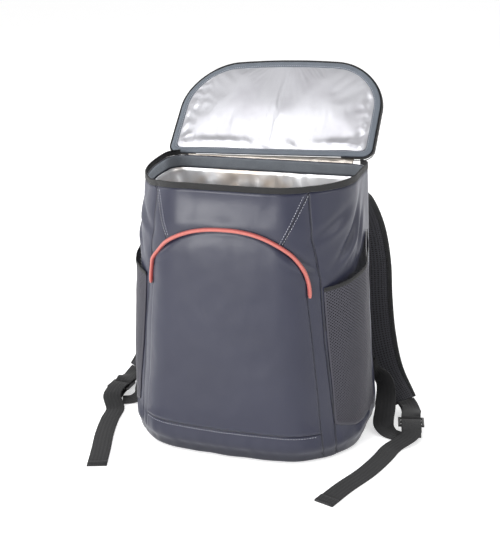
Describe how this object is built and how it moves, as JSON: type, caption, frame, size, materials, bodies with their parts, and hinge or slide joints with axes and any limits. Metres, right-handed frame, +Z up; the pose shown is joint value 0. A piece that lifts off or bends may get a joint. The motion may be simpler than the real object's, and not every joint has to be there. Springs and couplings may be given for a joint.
{
  "type": "backpack cooler",
  "caption": "Soft upright insulated cooler bag with padded shoulder straps, arched front pocket, mesh side pockets and an open foil-lined lid.",
  "frame": {"origin": "centre of the base, on the surface that the bag stands on", "axes": "+Z up, -Y is the bag's front, +Y the side that lies on the wearer's back, X across"},
  "size_m": [0.5358, 0.4702, 0.534],
  "materials": {
    "shell_cloth": "coated grey cloth, matt with a soft sheen",
    "foil": "wrinkled silver foil laminate",
    "tape": "grey woven tape",
    "zipper": "black zip tape and coil",
    "piping": "coral piping",
    "mesh": "dark open mesh",
    "strap_cloth": "black padded cloth and spacer mesh",
    "webbing": "black woven webbing",
    "buckle": "moulded black plastic"
  },
  "bodies": {
    "root": {"outer_shell": "shell_cloth", "foil_liner": "foil", "rim_facing": "tape", "rim_zipper": "zipper", "front_pocket_panel": "shell_cloth", "arch_piping": "piping", "side_pocket_right": "mesh", "side_pocket_left": "mesh", "pocket_binding_right": "webbing", "pocket_binding_left": "webbing", "lid_cover": "shell_cloth", "lid_foil_panel": "foil", "lid_edge_tape": "tape", "lid_zipper": "zipper", "lid_hinge_strip": "tape", "strap_yoke": "webbing", "shoulder_strap_right": "strap_cloth", "shoulder_strap_left": "strap_cloth", "strap_end_loop_right": "webbing", "strap_end_loop_left": "webbing", "ladder_buckle_right": "buckle", "ladder_buckle_left": "buckle", "webbing_tail_right": "webbing", "webbing_tail_left": "webbing", "anchor_webbing_right": "webbing", "anchor_webbing_left": "webbing"}
  },
  "joints": []
}
